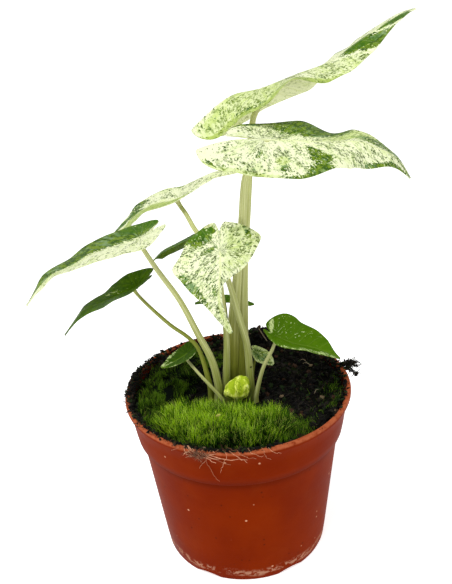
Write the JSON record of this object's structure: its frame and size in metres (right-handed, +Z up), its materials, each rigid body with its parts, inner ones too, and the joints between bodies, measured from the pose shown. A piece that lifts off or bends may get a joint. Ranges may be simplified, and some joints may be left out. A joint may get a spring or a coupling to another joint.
{
  "type": "potted alocasia",
  "caption": "Young variegated alocasia with arrow-shaped leaves on long stalks, in soil and moss in a round tapered plastic nursery pot.",
  "frame": {"origin": "centre of the flat foot in the middle of the pot's underside, on the surface that the pot stands on", "axes": "+Z up along the pot's axis, -Y towards the front of the plant as pictured, +X to the right seen from the front"},
  "size_m": [0.1397, 0.09, 0.2115],
  "materials": {
    "pot": "terracotta orange moulded plastic, slightly scuffed and chalky near the base",
    "soil": "nearly black damp peat soil",
    "corm": "brown corm skin",
    "blade_a": "cream leaf speckled with green, satin",
    "blade_b": "cream leaf speckled with green, satin",
    "blade_c": "cream leaf speckled with green, satin",
    "blade_d": "one half green, the other cream, satin",
    "blade_e": "cream leaf speckled with green, satin",
    "blade_f": "dark green, satin",
    "blade_g": "dark green, satin",
    "blade_h": "dark green, satin",
    "blade_i": "green with a few cream flecks, satin",
    "blade_j": "green with a pale margin, satin",
    "blade_k": "green with a pale margin, satin",
    "stalk": "pale olive green, satin",
    "young_leaf": "bright yellow green",
    "moss_tuft": "bright green moss",
    "moss_carpet": "dark green moss"
  },
  "bodies": {
    "root": {"pot": "pot", "soil": "soil", "corm": "corm", "blade_a": "blade_a", "blade_b": "blade_b", "blade_c": "blade_c", "blade_d": "blade_d", "blade_e": "blade_e", "blade_f": "blade_f", "blade_g": "blade_g", "blade_h": "blade_h", "blade_i": "blade_i", "blade_j": "blade_j", "blade_k": "blade_k", "stalk_a": "stalk", "stalk_b": "stalk", "stalk_c": "stalk", "stalk_d": "stalk", "stalk_e": "stalk", "stalk_f": "stalk", "stalk_g": "stalk", "stalk_h": "stalk", "stalk_i": "stalk", "stalk_j": "stalk", "stalk_k": "stalk", "young_leaf": "young_leaf", "moss_tuft": "moss_tuft", "moss_carpet": "moss_carpet"}
  },
  "joints": []
}
